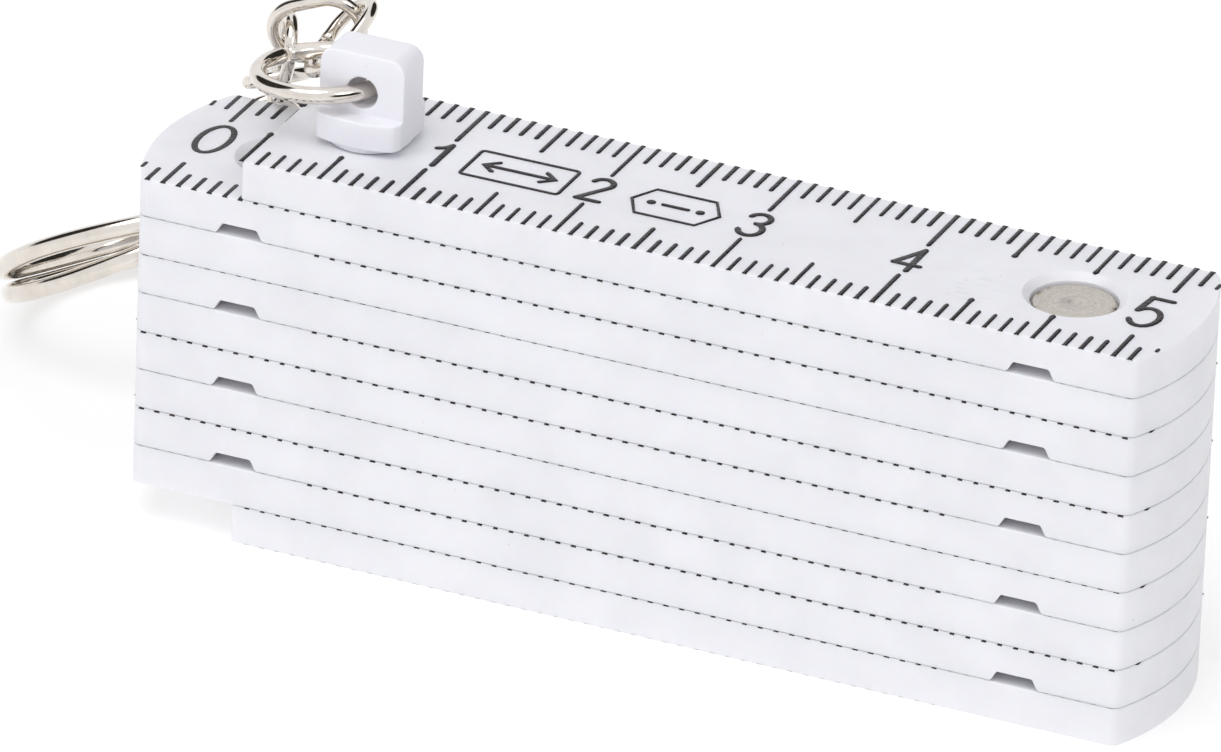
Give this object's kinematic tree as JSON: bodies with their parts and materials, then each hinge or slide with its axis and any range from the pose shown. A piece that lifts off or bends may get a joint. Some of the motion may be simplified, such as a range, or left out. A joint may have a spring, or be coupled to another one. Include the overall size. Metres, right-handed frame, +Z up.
{
  "type": "folding rule",
  "caption": "Small pocket folding rule in white plastic, folded into a stack, with a swivelling eyelet, a fine chain and a split key ring.",
  "frame": {"origin": "middle of the underside of the bottom segment, halfway between the two rows of hinge axes", "axes": "+X along the folded rule from its zero end to its far hinge row, +Y to the side where the chain hangs, +Z up through the stack"},
  "size_m": [0.0832, 0.0332, 0.0308],
  "materials": {
    "plastic": "white moulded plastic with a soft gloss and raised black marks",
    "marks": "thin raised black ink of the graduations and numbers, slightly glossy",
    "eyelet": "white moulded plastic, smoother than the segments",
    "rivet_steel": "flat heads with faint circular turning marks",
    "nickel": "bright nickel plate, slightly warm"
  },
  "bodies": {
    "segment_10": {"segment_10": "plastic", "rivet_09": "rivet_steel"},
    "segment_09": {"segment_09": "plastic", "rivet_08": "rivet_steel"},
    "segment_08": {"segment_08": "plastic", "rivet_07": "rivet_steel"},
    "segment_07": {"segment_07": "plastic", "rivet_06": "rivet_steel"},
    "segment_06": {"segment_06": "plastic", "rivet_05": "rivet_steel"},
    "segment_05": {"segment_05": "plastic", "rivet_04": "rivet_steel"},
    "segment_04": {"segment_04": "plastic", "rivet_03": "rivet_steel"},
    "segment_03": {"segment_03": "plastic", "rivet_02": "rivet_steel"},
    "segment_02": {"segment_02": "plastic", "rivet_01": "rivet_steel"},
    "segment_01": {"segment_01": "plastic"},
    "eyelet": {"eyelet": "eyelet"},
    "jump_ring": {"jump_ring": "nickel"},
    "chain_link_1": {"chain_link_1": "nickel"},
    "chain_link_2": {"chain_link_2": "nickel"},
    "chain_link_3": {"chain_link_3": "nickel"},
    "chain_link_4": {"chain_link_4": "nickel"},
    "chain_link_5": {"chain_link_5": "nickel"},
    "chain_link_6": {"chain_link_6": "nickel"},
    "chain_link_7": {"chain_link_7": "nickel"},
    "key_ring": {"key_ring": "nickel"}
  },
  "joints": [
    {"name": "fold_09", "type": "hinge", "parent": "segment_10", "child": "segment_09", "pos_m": [0.025, 0, 0.00245], "axis": [0, 0, 1], "range_deg": [-180, 0]},
    {"name": "fold_08", "type": "hinge", "parent": "segment_09", "child": "segment_08", "pos_m": [-0.025, 0, 0.00495], "axis": [0, 0, 1], "range_deg": [0, 180]},
    {"name": "fold_07", "type": "hinge", "parent": "segment_08", "child": "segment_07", "pos_m": [0.025, 0, 0.00745], "axis": [0, 0, 1], "range_deg": [-180, 0]},
    {"name": "fold_06", "type": "hinge", "parent": "segment_07", "child": "segment_06", "pos_m": [-0.025, 0, 0.00995], "axis": [0, 0, 1], "range_deg": [0, 180]},
    {"name": "fold_05", "type": "hinge", "parent": "segment_06", "child": "segment_05", "pos_m": [0.025, 0, 0.01245], "axis": [0, 0, 1], "range_deg": [-180, 0]},
    {"name": "fold_04", "type": "hinge", "parent": "segment_05", "child": "segment_04", "pos_m": [-0.025, 0, 0.01495], "axis": [0, 0, 1], "range_deg": [0, 180]},
    {"name": "fold_03", "type": "hinge", "parent": "segment_04", "child": "segment_03", "pos_m": [0.025, 0, 0.01745], "axis": [0, 0, 1], "range_deg": [-180, 0]},
    {"name": "fold_02", "type": "hinge", "parent": "segment_03", "child": "segment_02", "pos_m": [-0.025, 0, 0.01995], "axis": [0, 0, 1], "range_deg": [0, 180]},
    {"name": "fold_01", "type": "hinge", "parent": "segment_02", "child": "segment_01", "pos_m": [0.025, 0, 0.02245], "axis": [0, 0, 1], "range_deg": [-180, 0]},
    {"name": "eyelet_swivel", "type": "hinge", "parent": "segment_01", "child": "eyelet", "pos_m": [-0.0197, 0, 0.0249], "axis": [0, 0, 1], "range_deg": [-60, 0]},
    {"name": "jump_ring_swing", "type": "hinge", "parent": "eyelet", "child": "jump_ring", "pos_m": [-0.0197, 0, 0.02825], "axis": [0, 1, 0], "range_deg": [0, 60]},
    {"name": "chain_link_1_turn", "type": "hinge", "parent": "jump_ring", "child": "chain_link_1", "pos_m": [-0.02472, 0.00454, 0.02756], "axis": [-0.9218, -0.3859, -0.037], "range_deg": [-25, 0]},
    {"name": "chain_link_2_turn", "type": "hinge", "parent": "chain_link_1", "child": "chain_link_2", "pos_m": [-0.02359, 0.00682, 0.02884], "axis": [-0.2909, -0.2089, 0.9337], "range_deg": [-30, 0]},
    {"name": "chain_link_3_turn", "type": "hinge", "parent": "chain_link_2", "child": "chain_link_3", "pos_m": [-0.02859, 0.00582, 0.02706], "axis": [-0.2909, -0.2089, 0.9337], "range_deg": [-40, 0]},
    {"name": "chain_link_4_turn", "type": "hinge", "parent": "chain_link_3", "child": "chain_link_4", "pos_m": [-0.0291, 0.00754, 0.02299], "axis": [-0.4089, 0.8178, 0.4049], "range_deg": [0, 40]},
    {"name": "chain_link_5_turn", "type": "hinge", "parent": "chain_link_4", "child": "chain_link_5", "pos_m": [-0.03081, 0.01145, 0.02152], "axis": [-0.8596, -0.4808, -0.1729], "range_deg": [-40, 0]},
    {"name": "chain_link_6_turn", "type": "hinge", "parent": "chain_link_5", "child": "chain_link_6", "pos_m": [-0.03222, 0.01406, 0.01829], "axis": [0.165, -0.7311, -0.6621], "range_deg": [-40, 0]},
    {"name": "chain_link_7_turn", "type": "hinge", "parent": "chain_link_6", "child": "chain_link_7", "pos_m": [-0.03275, 0.01424, 0.01375], "axis": [0.8465, 0.5253, -0.087], "range_deg": [0, 40]},
    {"name": "key_ring_turn", "type": "hinge", "parent": "chain_link_7", "child": "key_ring", "pos_m": [-0.03386, 0.01319, 0.0113], "axis": [0.4741, 0.8802, -0.024], "range_deg": [0, 20]}
  ]
}
